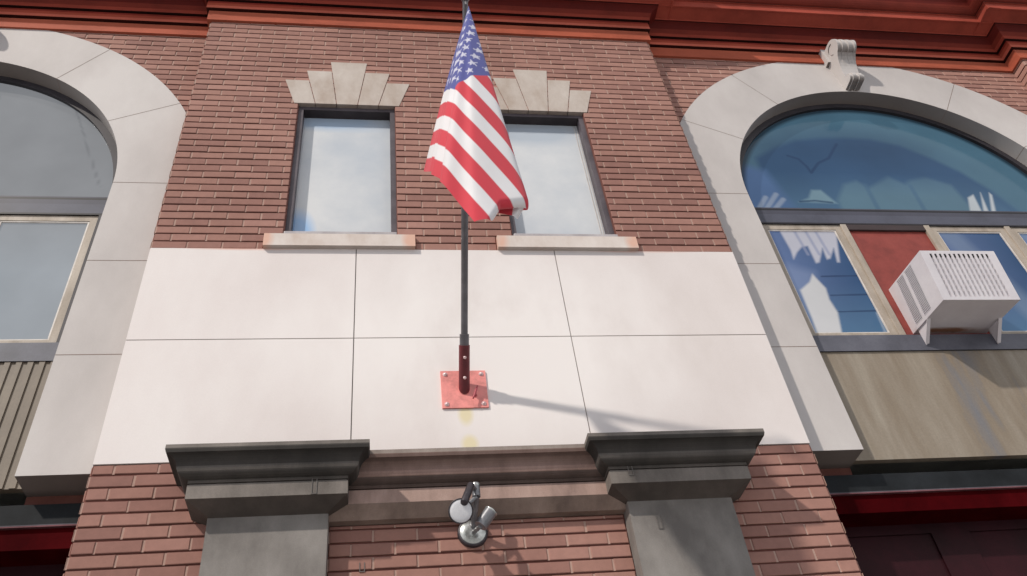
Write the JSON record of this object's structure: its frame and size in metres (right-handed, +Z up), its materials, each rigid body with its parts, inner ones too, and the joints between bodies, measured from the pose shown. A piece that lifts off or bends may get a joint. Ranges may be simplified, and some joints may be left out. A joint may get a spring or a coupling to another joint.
{
  "type": "fire station building",
  "caption": "Two-storey brick fire station with arched upper windows, vehicle doors, a stone panel, a moulded metal cornice and a flat roof.",
  "frame": {"origin": "on the ground under the middle of the rectangle of the walls", "axes": "+X to the right along the street front, +Y from the street front to the rear, +Z up"},
  "size_m": [13.96, 17.7666, 9.48],
  "materials": {
    "concrete": "trowelled concrete",
    "brick": "smooth-faced brown-red brick in running bond",
    "limestone": "smooth dressed limestone",
    "buff_stone": "buff dressed limestone",
    "grey_stone": "weathered grey limestone",
    "lintel_steel": "grey-blue painted steel",
    "ribbed_panel": "fine-ribbed metal panel",
    "flat_panel": "weathered flat metal panel",
    "glass": "clear window glass",
    "cream_wood": "cream painted wood",
    "red_board": "painted board",
    "appliance_white": "off-white enamelled sheet steel",
    "door_red": "dark red paint",
    "cornice_red": "painted pressed metal",
    "pole_metal": "grey aluminium tube",
    "bracket_red": "red painted steel",
    "flag_cloth": "woven nylon",
    "lamp_metal": "white and grey die-cast metal",
    "bronze_frame": "dark bronze finished metal"
  },
  "bodies": {
    "root": {"ground_floor": "concrete", "upper_floor": "concrete", "roof_deck": "concrete", "centre_bay_lower_wall": "brick", "centre_bay_upper_wall": "brick", "end_piers": "brick", "left_arch_wall": "brick", "right_arch_wall": "brick", "left_arch_surround": "limestone", "right_arch_surround": "limestone", "scroll_keystones": "limestone", "door_lintels": "lintel_steel", "left_spandrel_panel": "ribbed_panel", "right_spandrel_panel": "flat_panel", "window_sill_bars": "bronze_frame", "arch_window_frames": "bronze_frame", "arch_window_glass": "glass", "wooden_sashes": "cream_wood", "blanking_board": "red_board", "air_conditioner": "appliance_white", "air_conditioner_brackets": "appliance_white", "vehicle_doors": "door_red", "vehicle_door_trim": "door_red", "stone_panel": "limestone", "window_arches": "buff_stone", "front_window_sills": "buff_stone", "front_window_frames": "bronze_frame", "front_glass": "glass", "entablature_blocks": "grey_stone", "entablature_middle": "grey_stone", "pilasters": "grey_stone", "entrance_door": "door_red", "entrance_frame": "bronze_frame", "cornice": "cornice_red", "coping": "buff_stone", "left_side_wall": "brick", "right_side_wall": "brick", "rear_wall": "brick", "plain_window_frames": "bronze_frame", "plain_window_glass": "glass", "plain_window_sills": "buff_stone", "flagpole": "pole_metal", "pole_bracket": "bracket_red", "flag": "flag_cloth", "floodlight": "lamp_metal"}
  },
  "joints": []
}
